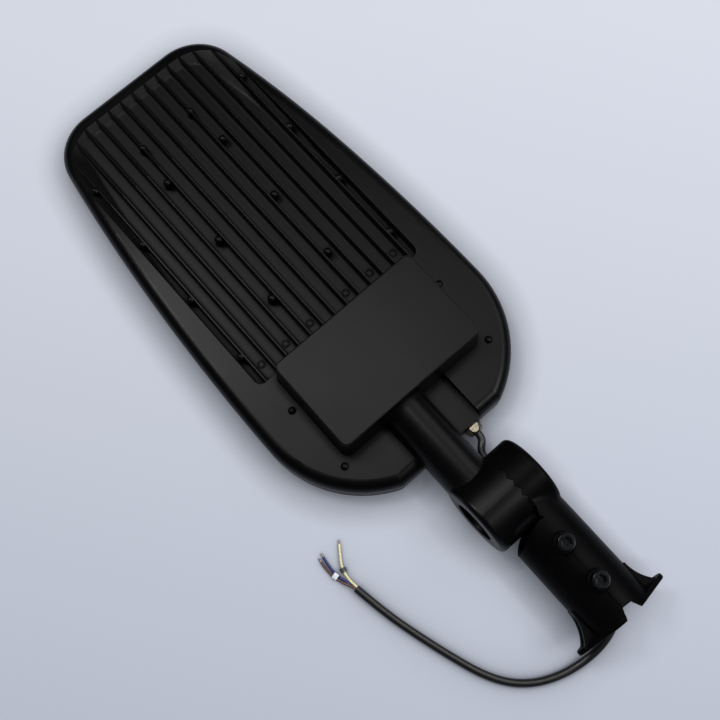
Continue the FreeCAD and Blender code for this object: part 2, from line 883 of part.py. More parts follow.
def sleeve():
    drum = knuckle_drum(0, knuckle_half, knuckle_half)
    body = along_sleeve(sleeve_diameter, pivot_x, flange_x).fuse(drum).removeSplitter()
    body = body.makeFillet(sleeve_crease_rounding, creases(body))
    link_y = tooth_crest_y + sleeve_link_clearance
    body = body.cut(about_pivot(2 * (sleeve_x0 - pivot_x), -sleeve_diameter, link_y))
    body = body.fuse([about_pivot(knuckle_diameter, 0, link_y), flange_plate()])
    body = body.fuse([gussets(-1), gussets(1)])
    for x in (clamp_near_x, clamp_far_x):
        boss = rod(clamp_boss_diameter, clamp_boss_top - joint_height, x, sleeve_y, joint_height)
        rim = [e for e in boss.Edges if e.BoundBox.ZMin > clamp_boss_top - 0.01]
        body = body.fuse(boss.makeFillet(clamp_boss_rounding, rim))
    ridge = block(
        clamp_near_x,
        flange_x - mouth_notch_depth,
        sleeve_y - parting_ridge / 2,
        sleeve_y + parting_ridge / 2,
        sleeve_top - overshoot,
        sleeve_top + parting_ridge_height,
    )
    body = body.fuse(ridge)
    body = body.cut(toothed_face(tooth_plane_y + tooth_gap, -1))
    body = body.cut(about_pivot(tooth_ring_inner, 0, tooth_crest_y + sleeve_tooth_relief))
    hollow = about_pivot(knuckle_diameter - 2 * hollow_wall, hollow_y0, hollow_y1)
    body = body.cut(hollow.cut(about_pivot(hub_diameter, hollow_y0, hollow_y1)))
    window = block(
        pivot_x - knuckle_radius - overshoot,
        pivot_x - cable_window_from_pivot,
        window_y0,
        window_y0 + cable_window_width,
        joint_height - cable_window_low,
        joint_height - cable_window_high,
    )
    passage_x = pivot_x + hub_diameter / 2
    passage_length = bore_x0 + overshoot - passage_x
    passage = rod(
        cable_passage_diameter, passage_length, passage_x, inner_cable_y, passage_z, ALONG
    )
    body = body.cut([window, passage, along_sleeve(pole_bore, bore_x0, flange_x + overshoot)])
    hole = pivot_bolt_diameter + 2 * pivot_bolt_clearance
    bolt_hole = about_pivot(hole, 0, knuckle_half)
    pocket = about_pivot(pivot_pocket_diameter, pivot_pocket_y, knuckle_half + overshoot)
    body = body.cut([bolt_hole, pocket])
    for x in (clamp_near_x, clamp_far_x):
        hole = clamp_screw_diameter + 2 * clamp_clearance
        body = body.cut(rod(hole, joint_height + cut_reach, x, sleeve_y, joint_height))
    notch_y = sleeve_y + mouth_notch_off_middle
    notch_z = joint_height + pole_bore / 4
    notch = prism(
        [
            V(flange_x + overshoot, notch_y - mouth_notch_width / 2, notch_z),
            V(flange_x - mouth_notch_depth, notch_y - mouth_notch_bottom / 2, notch_z),
            V(flange_x - mouth_notch_depth, notch_y + mouth_notch_bottom / 2, notch_z),
            V(flange_x + overshoot, notch_y + mouth_notch_width / 2, notch_z),
        ],
        V(0, 0, joint_height),
    )
    return body.cut([notch, flange_slot(-1), flange_slot(1)])


def socket_screw(head_diameter, head_height, shank_diameter, shank_length, socket, place, axis):
    """A screw whose head starts at place and points along axis; the shank runs the other way."""
    head = rod(head_diameter, head_height, place.x, place.y, place.z, axis)
    outer = place + axis * head_height
    circles = [e for e in head.Edges if isinstance(e.Curve, Part.Circle)]
    rim = [e for e in circles if abs((e.Curve.Center - outer).Length) < 0.01]
    head = head.makeFillet(min(head_edge_rounding, head_height / 4), rim)
    shank = rod(shank_diameter, shank_length, place.x, place.y, place.z, axis * -1)
    bottom = place + axis * (head_height / 2)
    hole = hexagon(socket, head_height, bottom.x, bottom.y, bottom.z, axis)
    return head.fuse(shank).cut(hole)


def clamp_screw(x):
    head_foot = V(x, sleeve_y, clamp_boss_top + clamp_travel)
    tip_z = joint_height + pole_bore / 2 + clamp_tip_gap
    return socket_screw(
        clamp_head_diameter,
        clamp_head_height,
        clamp_screw_diameter,
        head_foot.z - tip_z,
        clamp_socket,
        head_foot,
        UP,
    )


def pivot_bolt():
    foot = V(pivot_x, pivot_pocket_y + pivot_washer_thickness, joint_height)
    tip_y = -knuckle_half + pocket_depth - pivot_bolt_past_nut
    return socket_screw(
        pivot_head_diameter,
        pivot_head_height,
        pivot_bolt_diameter,
        foot.y - tip_y,
        pivot_socket,
        foot,
        ACROSS,
    )


def pivot_washer():
    y1 = pivot_pocket_y + pivot_washer_thickness
    hole = pivot_bolt_diameter + 2 * pivot_washer_clearance
    disc = about_pivot(pivot_washer_diameter, pivot_pocket_y, y1)
    return disc.cut(about_pivot(hole, pivot_pocket_y - overshoot, y1 + overshoot))


def pivot_nut():
    y = -knuckle_half + pocket_depth
    hole = pivot_bolt_diameter + 2 * pivot_bolt_clearance
    nut = hexagon(pivot_nut_width, pivot_nut_height, pivot_x, y, joint_height, ACROSS)
    return nut.cut(about_pivot(hole, y - overshoot, y + pivot_nut_height + overshoot))


def on_gland(diameter, x0, x1):
    """A cylinder on the cable gland's axis."""
    return rod(diameter, x1 - x0, x0, gland_y, gland_height, ALONG)


def gland_body():
    inside_x = locknut_x - gland_thread_past_nut
    thread = on_gland(gland_thread, inside_x, gland_stub_x)
    flange = hexagon(gland_hex, gland_flange, gland_hex_x, gland_y, gland_height, ALONG)
    stub = on_gland(gland_stub_diameter, gland_stub_x, gland_seal_x)
    hole = on_gland(gland_bore, inside_x - overshoot, gland_mouth_x)
    return thread.fuse([flange, stub]).cut(hole)


def gland_nut():
    length = gland_mouth_x - gland_stub_x
    outside = hexagon(gland_nut_hex, length, gland_stub_x, gland_y, gland_height, ALONG)
    dome = Part.makeSphere(gland_nut_hex / sqrt(3), V(gland_stub_x, gland_y, gland_height))
    stub_room = on_gland(gland_stub_diameter + 2 * gland_fit, gland_stub_x, gland_seal_x)
    seal_x1 = gland_seal_x + gland_seal_length
    seal_room = on_gland(gland_seal_diameter + 2 * gland_fit, gland_seal_x, seal_x1)
    mouth = on_gland(gland_mouth_diameter, gland_stub_x, gland_mouth_x + overshoot)
    return outside.common(dome).cut([stub_room, seal_room, mouth])


def gland_seal():
    x1 = gland_seal_x + gland_seal_length
    ring = on_gland(gland_seal_diameter, gland_seal_x, x1)
    return ring.cut(on_gland(cable_diameter + 2 * gland_fit, gland_seal_x - overshoot, x1 + overshoot))


def gland_locknut():
    x1 = locknut_x + locknut_thickness
    nut = hexagon(locknut_hex, locknut_thickness, locknut_x, gland_y, gland_height, ALONG)
    return nut.cut(on_gland(gland_thread + 2 * gland_fit, locknut_x - overshoot, x1 + overshoot))


def gland_washer():
    ring = on_gland(gland_hex, end_x, gland_hex_x)
    return ring.cut(on_gland(gland_thread + 2 * gland_fit, end_x - overshoot, gland_hex_x + overshoot))


def lens_places():
    """Where the lenses and the chips above them stand, centred on the light board."""
    middle_x = (board_x0 + board_x1) / 2
    places = []
    for i in range(lens_columns):
        for j in range(lens_rows):
            x = middle_x + (i - (lens_columns - 1) / 2) * lens_column_pitch
            y = (j - (lens_rows - 1) / 2) * lens_row_pitch
            places.append((x, y))
    return places


def led_board():
    board = rounded_block(
        board_x0, board_x1, board_width / 2, board_underside, web_underside, board_corner, board_rear_corner
    )
    for x, y in inner_bosses:
        board = board.cut(rod(clear_hole, web_underside, x, y, board_underside - overshoot))
    return board


def led_chips():
    half = chip_size / 2
    z = board_underside
    chips = [block(x - half, x + half, y - half, y + half, z - chip_height, z) for x, y in lens_places()]
    return Part.Compound(chips)


def lens_plate():
    """The clear plate over the light board, with one shallow lens under each chip."""
    reach = block(tip_x, lens_seat_x - seat_clearance, -half_width, half_width, 0, plateau_height)
    plate = head_prism(lens_inset, lens_depth, lens_top).common(reach)
    lenses = [cap(lens_bulge_radius, lens_bulge_height, x, y, lens_depth, -UP) for x, y in lens_places()]
    plate = plate.fuse(lenses)
    for x, y in outer_bosses:
        plate = plate.cut(rod(clear_hole, lens_top, x, y, overshoot))
    return plate


def seal_ring(inset, x0, x1, z0, z1, inner_x0, inner_x1):
    """A flat seal that follows the head's edge between x0 and x1, straight across at the partition."""
    outer = head_prism(inset, z0, z1)
    inner = head_prism(inset + gasket_width, z0 - overshoot, z1 + overshoot)
    outer = outer.common(block(x0, x1, -half_width, half_width, z0, z1))
    inner = inner.common(
        block(inner_x0, inner_x1, -half_width, half_width, z0 - overshoot, z1 + overshoot)
    )
    return outer.cut(inner)


def lens_gasket():
    x1 = lens_seat_x - 2 * seat_clearance
    inset = lens_inset + seat_clearance
    return seal_ring(inset, tip_x, x1, lens_top, lens_ledge, tip_x, x1 - gasket_width)


def cover_gasket():
    x0 = cover_seat_x + 2 * seat_clearance
    inset = cover_inset + seat_clearance
    return seal_ring(inset, x0, end_x, cover_top, cover_seat, x0 + gasket_width, end_x)


def driver_cover():
    reach = block(cover_seat_x + seat_clearance, end_x, -half_width, half_width, 0, plateau_height)
    plate = head_prism(cover_inset, cover_depth, cover_top).common(reach)
    for x, y in cover_bosses:
        plate = plate.cut(rod(clear_hole, plateau_height, x, y, 0))
    return plate


def small_screws(places, seat_z, tip_z):
    """Identical screws driven upwards, with their heads under seat_z."""
    screws = []
    for x, y in places:
        screws.append(
            socket_screw(
                small_head_diameter,
                small_head_height,
                small_screw_diameter,
                tip_z - seat_z,
                small_socket,
                V(x, y, seat_z),
                -UP,
            )
        )
    return Part.Compound(screws)


def driver():
    """The driver: a sealed metal case hung from the box's ceiling by an ear at each end."""
    half = driver_width / 2
    reach = driver_length / 2
    case_reach = reach - driver_ear
    case_z = driver_top - driver_height
    case = block(driver_x - half, driver_x + half, -case_reach, case_reach, case_z, driver_top)
    upright = [e for e in case.Edges if abs(e.Vertexes[0].Z - e.Vertexes[1].Z) > overshoot]
    case = case.makeFillet(driver_corner, upright)
    ears = block(
        driver_x - half / 2,
        driver_x + half / 2,
        -reach,
        reach,
        driver_top - driver_ear_thickness,
        driver_top,
    )
    case = case.fuse(ears)
    for y in driver_screw_places():
        case = case.cut(rod(clear_hole, cut_reach, driver_x, y, case_z))
    return case


def terminal_block():
    """A screw terminal with one way for each core, under the plateau."""
    z0 = gear_ceiling - terminal_height
    y1 = terminal_y0 + terminal_length
    body = block(terminal_x0, terminal_x0 + terminal_width, terminal_y0, y1, z0, gear_ceiling)
    pitch = terminal_length / (terminal_ways + 1)
    for i in range(terminal_ways):
        y = terminal_y0 + pitch * (i + 1)
        well = rod(terminal_well, terminal_well, terminal_x0 + terminal_width / 2, y, z0)
        body = body.cut(well)
    return body


def driver_lead(side):
    """One lead of the pair from the driver's end down to the terminal block."""
    shift = side * lead_spacing / 2
    case_end = driver_length / 2 - driver_ear
    start_z = driver_top - driver_height + lead_exit_height
    end_z = gear_ceiling - terminal_height / 2 + lead_entry_rise
    y = terminal_y + 1.5 * shift
    points = [V(driver_x + 2 * shift, case_end, start_z)]
    for along, out, up, spread_along, spread_out in lead_bends:
        x = driver_x + along + spread_along * shift
        points.append(V(x, case_end + out + spread_out * shift, start_z + up))
    points += [V(terminal_x0 - lead_last_run, y, end_z), V(terminal_x0, y, end_z)]
    return tube(points, lead_diameter)[0]


def head_route():
    """The cable's stretch from the gland's mouth in to the terminal block."""
    x = terminal_x0 + terminal_width / 2
    up = gland_height + head_bend_up
    mouth = V(gland_mouth_x, gland_y, gland_height)
    inside = [mouth + V(*bend) for bend in head_bends]
    return [mouth] + inside + [V(x, gland_y + head_bend_across, up), V(x, terminal_y0, up)]


def bridge_route():
    """The cable from the gland, past the neck, to the window in the sleeve's half of the knuckle."""
    mouth = V(gland_mouth_x, gland_y, gland_height)
    under_pivot = V(pivot_x, inner_cable_y, inner_cable_z)
    outside = [mouth + V(*bend) for bend in bridge_bends]
    return [mouth] + outside + [under_pivot + V(*bend) for bend in pivot_bends[:3]]


def inner_route():
    """The cable from under the pivot, through the sleeve's end wall, along the bottom of its bore."""
    under_pivot = V(pivot_x, inner_cable_y, inner_cable_z)
    in_bore = V(bore_x0, inner_cable_y, inner_cable_z)
    points = [under_pivot + V(*bend) for bend in pivot_bends[2:]]
    points += [in_bore + V(*bend) for bend in bore_bends]
    points += [V(bore_cable_x - bore_last_run, bore_cable_y, bore_cable_z)]
    return points + [V(bore_cable_x, bore_cable_y, bore_cable_z)]


def free_route():
    """The free cable: out of the sleeve, down to the ground and round to its bared end."""
    floor = cable_diameter / 2 + floor_gap
    mouth = V(flange_x, bore_cable_y, bore_cable_z)
    ground = V(flange_x, bore_cable_y, floor)
    points = [V(bore_cable_x, bore_cable_y, bore_cable_z)]
    points += [mouth + V(*bend) for bend in mouth_bends]
    points += [ground + V(*ground_touch, ground_touch_rise)]
    return points + [ground + V(*bend, 0) for bend in ground_bends]


def jacket_end(across, up):
    """A place on the cut end of the jacket, and the way the cable points there."""
    route = free_route()
    ahead = (route[-1] - route[-2]).normalize()
    sideways = V(-ahead.y, ahead.x, 0)
    return route[-1] + sideways * across + UP * up, ahead


def core_route(angle, bends):
    """One core: straight out of the jacket at its place there, then along the ground."""
    across = core_pitch * cos(radians(angle))
    up = core_pitch * sin(radians(angle))
    start, ahead = jacket_end(across, up)
    end = free_route()[-1]
    ground = V(end.x, end.y, core_diameter / 2 + floor_gap)
    return [start, start + ahead * core_straight] + [ground + V(*bend) for bend in bends]


def blue_route():
    return core_route(blue_angle, blue_bends)


def brown_route():
    return core_route(brown_angle, brown_bends)


def earth_route():
    return core_route(earth_angle, earth_bends)


def bared_end(route):
    """The bare wire past the end of a core, in line with its last run."""
    end = route[-1]
    direction = (route[-1] - route[-2]).normalize()
    return rod(wire_diameter, bared_length, end.x, end.y, end.z, direction)


def earth_bead():
    """A short dark bead threaded on the earth core, which it lifts off the ground."""
    route = earth_route()
    ahead = (route[4] - route[3]).normalize()
    start = (route[3] + route[4]) * 0.5 - ahead * (bead_length / 2)
    outside = rod(bead_diameter, bead_length, start.x, start.y, start.z, ahead)
    hole = core_diameter + 2 * bead_clearance
    back = start - ahead * overshoot
    return outside.cut(rod(hole, bead_length + 2 * overshoot, back.x, back.y, back.z, ahead))


def core_sleeve():
    """A short clear sleeve round the blue and the brown core where they lie side by side."""
    blue = blue_route()
    brown = brown_route()
    start = (blue[3] + brown[3]) * 0.5
    ahead = (blue[3] - blue[2]).normalize()
    sideways = V(-ahead.y, ahead.x, 0)
    half_gap = (brown[3] - blue[3]).Length / 2
    outer = core_diameter + 2 * core_sleeve_wall
    z = outer / 2 + floor_gap
    places = [start + sideways * (half_gap * side) for side in (-1, 1)]
    rounds = [rod(outer, core_sleeve_length, p.x, p.y, z, ahead) for p in places]
    corner = places[0]
    end = places[1]
    plan = [corner, end, end + ahead * core_sleeve_length, corner + ahead * core_sleeve_length]
    flat = prism([V(p.x, p.y, floor_gap) for p in plan], UP * outer)
    cores = [tube(route, core_diameter)[0] for route in (blue, brown)]
    return flat.fuse(rounds).cut(cores)


def save_cord(name, route, diameter):
    """Writes a cord's tube and prints its length, its radii and its volume against section times length."""
    solid, radii, length = tube(route, diameter)
    ratio = solid.Volume / (pi * diameter**2 / 4 * length)
    print(name, "length", round(length, 1), "radii", [round(r, 1) for r in radii], "volume", round(ratio, 4))
    save(name, solid)


os.makedirs("parts", exist_ok=True)
save("housing", housing())
save("sleeve", sleeve())
save("clamp_screw_near", clamp_screw(clamp_near_x))
save("clamp_screw_far", clamp_screw(clamp_far_x))
save("pivot_bolt", pivot_bolt())
save("pivot_washer", pivot_washer())
save("pivot_nut", pivot_nut())
save("gland_body", gland_body())
save("gland_nut", gland_nut())
save("gland_seal", gland_seal())
save("gland_locknut", gland_locknut())
save("gland_washer", gland_washer())
save("led_board", led_board())
save("led_chips", led_chips())
save("lens_plate", lens_plate())
save("lens_gasket", lens_gasket())
save("cover_gasket", cover_gasket())
save("driver_cover", driver_cover())
save("lens_screws", small_screws(outer_bosses, lens_depth, screw_tip_z))
save("board_screws", small_screws(inner_bosses, board_underside, screw_tip_z))
save("cover_screws", small_screws(cover_bosses, cover_depth, screw_tip_z))
driver_places = [(driver_x, y) for y in driver_screw_places()]
driver_seat = driver_top - driver_ear_thickness
save("driver_screws", small_screws(driver_places, driver_seat, driver_top + driver_pillar - overshoot))
save("driver", driver())
save("terminal_block", terminal_block())
save("driver_leads", Part.Compound([driver_lead(-1), driver_lead(1)]))
save_cord("cable_in_head", head_route(), cable_diameter)
save_cord("cable_bridge", bridge_route(), cable_diameter)
save_cord("cable_in_sleeve", inner_route(), cable_diameter)
save_cord("supply_cable", free_route(), cable_diameter)
save_cord("core_blue", blue_route(), core_diameter)
save_cord("core_brown", brown_route(), core_diameter)
save_cord("core_earth", earth_route(), core_diameter)
ends = [bared_end(route) for route in (blue_route(), brown_route(), earth_route())]
save("core_tips", Part.Compound(ends))
save("earth_bead", earth_bead())
save("core_sleeve", core_sleeve())
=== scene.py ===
import math

import bmesh
import bpy
from mathutils import Matrix, Vector


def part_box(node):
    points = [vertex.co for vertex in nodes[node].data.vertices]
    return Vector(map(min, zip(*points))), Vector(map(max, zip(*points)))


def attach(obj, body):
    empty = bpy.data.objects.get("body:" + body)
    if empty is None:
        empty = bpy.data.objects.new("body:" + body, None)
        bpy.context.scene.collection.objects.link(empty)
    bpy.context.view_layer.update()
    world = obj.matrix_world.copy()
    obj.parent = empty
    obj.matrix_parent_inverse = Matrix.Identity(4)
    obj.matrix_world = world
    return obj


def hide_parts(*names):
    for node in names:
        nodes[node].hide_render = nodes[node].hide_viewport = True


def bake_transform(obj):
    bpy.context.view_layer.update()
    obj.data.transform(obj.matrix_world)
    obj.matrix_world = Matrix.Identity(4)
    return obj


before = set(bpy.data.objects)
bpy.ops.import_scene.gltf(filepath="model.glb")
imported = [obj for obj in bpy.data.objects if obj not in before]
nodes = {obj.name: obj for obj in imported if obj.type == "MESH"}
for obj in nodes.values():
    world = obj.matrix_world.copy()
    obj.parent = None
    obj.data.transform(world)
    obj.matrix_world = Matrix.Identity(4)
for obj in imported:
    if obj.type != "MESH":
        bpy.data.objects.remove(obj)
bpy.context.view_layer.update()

# The head's casting. One die casting of aluminium carries the fins, the driver's box, the neck and
# the neck's half of the knuckle. It is shot-blasted and powder-coated black, satin, with the fine
# orange peel that baked powder has.


def shade(hex_colour):
    """An sRGB hex colour as the linear one that shaders take."""
    values = [int(hex_colour[i : i + 2], 16) / 255 for i in (1, 3, 5)]
    return [v / 12.92 if v <= 0.04045 else ((v + 0.055) / 1.055) ** 2.4 for v in values] + [1.0]


def add(tree, kind, inputs=None, **settings):
    """Adds one node: its settings, then its inputs, each a value or another node's output."""
    node = tree.nodes.new(kind)
    for name, value in settings.items():
        setattr(node, name, value)
    for name, value in (inputs or {}).items():
        if isinstance(value, bpy.types.NodeSocket):
            tree.links.new(value, node.inputs[name])
        else:
            node.inputs[name].default_value = value
    return node


# The height of the floor between the fins, in metres, as all sizes here are unless a comment says so.
recess_floor = 0.020


def powder_coat(name, colour, bare_colour, roughness, ior):
    """Baked polyester powder: black and satin. Its orange peel is 0.9 mm across, and handling leaves broad
    dull marks. The layer softens each crisp edge of the casting, which gives it a fine glint, and the
    fins rise from the recess floor with wide root fillets, which shade the floor beside them. Powder
    gathers in inner corners and bakes dull there."""
    peel_size = 0.0009
    peel_height = 0.00006
    peel_strength = 0.2
    rub_size = 0.038
    edge_radius = 0.0008
    root_radius = 0.004
    root_height = 0.0015
    corner_reach = 0.009
    corner_roughness = 0.45
    material = bpy.data.materials.new(name)
    material.use_nodes = True
    tree = material.node_tree
    shader = tree.nodes["Principled BSDF"]
    place = add(tree, "ShaderNodeTexCoord").outputs["Object"]
    peel = add(tree, "ShaderNodeTexNoise", {"Vector": place, "Scale": 1 / peel_size, "Detail": 2.0})
    rub = add(
        tree,
        "ShaderNodeTexNoise",
        {"Vector": place, "Scale": 1 / rub_size, "Detail": 6.0, "Roughness": 0.7},
    )
    tint = add(tree, "ShaderNodeValToRGB", {"Fac": rub.outputs["Fac"]})
    tint.color_ramp.elements[0].position = 0.35
    tint.color_ramp.elements[0].color = shade(colour)
    tint.color_ramp.elements[1].position = 0.75
    tint.color_ramp.elements[1].color = shade(bare_colour)
    gloss = add(
        tree,
        "ShaderNodeMapRange",
        {"Value": rub.outputs["Fac"], "To Min": roughness - 0.04, "To Max": roughness + 0.06},
    )
    openness = add(tree, "ShaderNodeAmbientOcclusion", {"Distance": corner_reach}, samples=4)
    dullness = add(
        tree,
        "ShaderNodeMapRange",
        {
            "Value": openness.outputs["AO"],
            "From Min": 0.35,
            "From Max": 0.9,
            "To Min": corner_roughness,
            "To Max": 0.0,
        },
    )
    gloss = add(
        tree,
        "ShaderNodeMath",
        {0: gloss.outputs["Result"], 1: dullness.outputs["Result"]},
        operation="ADD",
    )
    height = add(tree, "ShaderNodeSeparateXYZ", {"Vector": place}).outputs["Z"]
    in_root = add(
        tree,
        "ShaderNodeMath",
        {0: height, 1: recess_floor, 2: root_height},
        operation="COMPARE",
    )
    radius = add(
        tree,
        "ShaderNodeMath",
        {0: in_root.outputs["Value"], 1: root_radius - edge_radius, 2: edge_radius},
        operation="MULTIPLY_ADD",
    )
    edge = add(tree, "ShaderNodeBevel", {"Radius": radius.outputs["Value"]}, samples=8)
    relief = add(
        tree,
        "ShaderNodeBump",
        {
            "Height": peel.outputs["Fac"],
            "Strength": peel_strength,
            "Distance": peel_height,
            "Normal": edge.outputs["Normal"],
        },
    )
    tree.links.new(tint.outputs["Color"], shader.inputs["Base Color"])
    tree.links.new(gloss.outputs["Value"], shader.inputs["Roughness"])
    tree.links.new(relief.outputs["Normal"], shader.inputs["Normal"])
    shader.inputs["IOR"].default_value = ior
    return material


def finish_with(node, material):
    """Gives a carried-over piece its finish."""
    nodes[node].data.materials.clear()
    nodes[node].data.materials.append(material)


head_coat = powder_coat("powder-coated die-cast aluminium, head", "#040405", "#070708", 0.33, 1.2)
finish_with("housing", head_coat)

# Marks of the ejector pins: six flat discs in the channels between the fins, in front of the driver
# box. They are part of the casting, 8.4 mm across, and stand 0.4 mm out of the recess floor.
mark_diameter = 0.0084
mark_height = 0.0004
mark_depth = 0.0008
channel_pitch = 0.016
mark_channels = (1.5, 3.5, 5.5)
mark_x = -0.0335


def node_tree_on(name, mesh, tree_name, sizes):
    """An object with a Geometry Nodes modifier: its tree, its group input and output, and its sizes set."""
    item = bpy.data.objects.new(name, mesh)
    bpy.context.scene.collection.objects.link(item)
    tree = bpy.data.node_groups.new(tree_name, "GeometryNodeTree")
    tree.interface.new_socket("Geometry", in_out="INPUT", socket_type="NodeSocketGeometry")
    modifier = item.modifiers.new(tree_name, "NODES")
    modifier.node_group = tree
    for size_name, value in sizes.items():
        socket = tree.interface.new_socket(size_name, in_out="INPUT", socket_type="NodeSocketFloat")
        modifier[socket.identifier] = value
    tree.interface.new_socket("Geometry", in_out="OUTPUT", socket_type="NodeSocketGeometry")
    return item, tree, add(tree, "NodeGroupInput"), add(tree, "NodeGroupOutput")


def made_plain(item):
    """Turns what the modifier makes into the object's own mesh, and takes the modifier off."""
    bpy.context.view_layer.update()
    mesh = bpy.data.meshes.new_from_object(item.evaluated_get(bpy.context.evaluated_depsgraph_get()))
    item.modifiers.clear()
    item.data = mesh
    return item


mark_places = bpy.data.meshes.new("ejector_marks")
mark_places.from_pydata(
    [
        (mark_x, side * channel * channel_pitch, recess_floor + mark_height - mark_depth / 2)
        for side in (-1, 1)
        for channel in mark_channels
    ],
    [],
    [],
)
marks, mark_tree, mark_sizes, mark_result = node_tree_on(
    "ejector_marks", mark_places, "ejector marks", {"Diameter": mark_diameter, "Depth": mark_depth}
)
mark_radius = add(
    mark_tree, "ShaderNodeMath", {0: mark_sizes.outputs["Diameter"], 1: 0.5}, operation="MULTIPLY"
)
mark_disc = add(
    mark_tree,
    "GeometryNodeMeshCylinder",
    {"Vertices": 48, "Radius": mark_radius.outputs["Value"], "Depth": mark_sizes.outputs["Depth"]},
)
mark_copies = add(
    mark_tree,
    "GeometryNodeInstanceOnPoints",
    {"Points": mark_sizes.outputs["Geometry"], "Instance": mark_disc.outputs["Mesh"]},
)
mark_solids = add(mark_tree, "GeometryNodeRealizeInstances", {"Geometry": mark_copies.outputs["Instances"]})
mark_coated = add(
    mark_tree,
    "GeometryNodeSetMaterial",
    {"Geometry": mark_solids.outputs["Geometry"], "Material": head_coat},
)
mark_tree.links.new(mark_coated.outputs["Geometry"], mark_result.inputs["Geometry"])
made_plain(marks)
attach(marks, "head")

# The light board: aluminium-core circuit board with white solder mask, and its phosphor chips. Eight
# zinc-plated screws hold it up against the finned web, which takes its heat away.


def plain_finish(name, colour, second, grain_size, roughness, metallic=0.0, bump=0.1, edge=0.0003):
    """A finish with a fine grain: two close colours mixed by noise, and a roughness that follows it. Its
    edges are broken by the radius edge, as a moulded or machined edge is."""
    grain_height = 0.0001
    roughness_spread = 0.08
    material = bpy.data.materials.new(name)
    material.use_nodes = True
    tree = material.node_tree
    shader = tree.nodes["Principled BSDF"]
    place = add(tree, "ShaderNodeTexCoord").outputs["Object"]
    grain = add(tree, "ShaderNodeTexNoise", {"Vector": place, "Scale": 1 / grain_size, "Detail": 4.0})
    tint = add(tree, "ShaderNodeValToRGB", {"Fac": grain.outputs["Fac"]})
    tint.color_ramp.elements[0].position = 0.3
    tint.color_ramp.elements[0].color = shade(colour)
    tint.color_ramp.elements[1].position = 0.7
    tint.color_ramp.elements[1].color = shade(second)
    gloss = add(
        tree,
        "ShaderNodeMapRange",
        {
            "Value": grain.outputs["Fac"],
            "To Min": roughness - roughness_spread,
            "To Max": roughness + roughness_spread,
        },
    )
    soft_edge = add(tree, "ShaderNodeBevel", {"Radius": edge}, samples=4)
    relief = add(
        tree,
        "ShaderNodeBump",
        {
            "Height": grain.outputs["Fac"],
            "Strength": bump,
            "Distance": grain_height,
            "Normal": soft_edge.outputs["Normal"],
        },
    )
    tree.links.new(tint.outputs["Color"], shader.inputs["Base Color"])
    tree.links.new(gloss.outputs["Result"], shader.inputs["Roughness"])
    tree.links.new(relief.outputs["Normal"], shader.inputs["Normal"])
    shader.inputs["Metallic"].default_value = metallic
    return material


# Solder mask is printed on and cured: an even white, half matt.
solder_mask = plain_finish("white solder mask on an aluminium board", "#e6e8e6", "#f1f2ef", 0.0033, 0.35)
# Phosphor is stirred into clear silicone: an even yellow with a soft gloss.
phosphor = plain_finish("yellow phosphor under silicone", "#e8c73c", "#f0d75a", 0.0014, 0.4)
# Zinc is plated on and passivated: bright, a little clouded.
zinc = plain_finish("zinc-plated steel", "#b9bcc0", "#cdd0d2", 0.0011, 0.32, metallic=1.0)
finish_with("led_board", solder_mask)
finish_with("led_chips", phosphor)
finish_with("board_screws", zinc)

# The lens plate: one moulding of clear polycarbonate with a shallow lens over each chip, on a silicone
# gasket, held by eight screws into the casting's rim. It is glossy, and flow lines from the mould
# cloud it a little.
flow_size = 0.0167
clear = bpy.data.materials.new("clear moulded polycarbonate")
clear.use_nodes = True
clear_tree = clear.node_tree
clear_shader = clear_tree.nodes["Principled BSDF"]
clear_place = add(clear_tree, "ShaderNodeTexCoord").outputs["Object"]
clear_flow = add(
    clear_tree, "ShaderNodeTexNoise", {"Vector": clear_place, "Scale": 1 / flow_size, "Detail": 3.0}
)
clear_gloss = add(
    clear_tree, "ShaderNodeMapRange", {"Value": clear_flow.outputs["Fac"], "To Min": 0.04, "To Max": 0.14}
)
clear_tree.links.new(clear_gloss.outputs["Result"], clear_shader.inputs["Roughness"])
clear_shader.inputs["Base Color"].default_value = shade("#f2f6f8")
clear_shader.inputs["IOR"].default_value = 1.58
clear_shader.inputs["Transmission Weight"].default_value = 0.92
finish_with("lens_plate", clear)
# Cast silicone is dull and even.
silicone = plain_finish("grey cast silicone", "#7d7f80", "#8a8c8d", 0.002, 0.6)
finish_with("lens_gasket", silicone)
finish_with("lens_screws", zinc)

# The driver's side: a potted driver in a drawn aluminium case hangs from the box's ceiling, with two
# leads to a white terminal block, and a flat cover on a gasket closes the head from below. The case's
# drawn sheet is pale and satin; moulded polyamide is an even, half matt white; the leads' extruded
# insulation is smooth.
finish_with("driver", plain_finish("drawn aluminium case", "#a9abad", "#b8babb", 0.0042, 0.38, metallic=1.0))
finish_with("driver_screws", zinc)
finish_with("terminal_block", plain_finish("white moulded polyamide", "#e4e3de", "#edece8", 0.0025, 0.45))
finish_with("driver_leads", plain_finish("brown extruded vinyl, leads", "#4a2414", "#552c1a", 0.0017, 0.35))
finish_with("driver_cover", head_coat)
finish_with("cover_gasket", silicone)
finish_with("cover_screws", zinc)

# The cable gland: turned from brass, nickel-plated but dull, with rubber for its seal and washer. The
# thin nickel lets some of the brass's warmth through.
gland_brass = plain_finish("dull nickel on turned brass", "#777066", "#8c8270", 0.0014, 0.3, metallic=1.0)
for piece in ("gland_body", "gland_nut", "gland_locknut"):
    finish_with(piece, gland_brass)
# Moulded rubber is black and nearly matt.
soft_rubber = plain_finish("black moulded rubber", "#1b1b1c", "#232324", 0.002, 0.62)
finish_with("gland_seal", soft_rubber)
finish_with("gland_washer", soft_rubber)

# The knuckle's fastening: a socket-head bolt through both toothed halves, its washer and a captive nut.
for piece in ("pivot_bolt", "pivot_washer", "pivot_nut"):
    finish_with(piece, zinc)

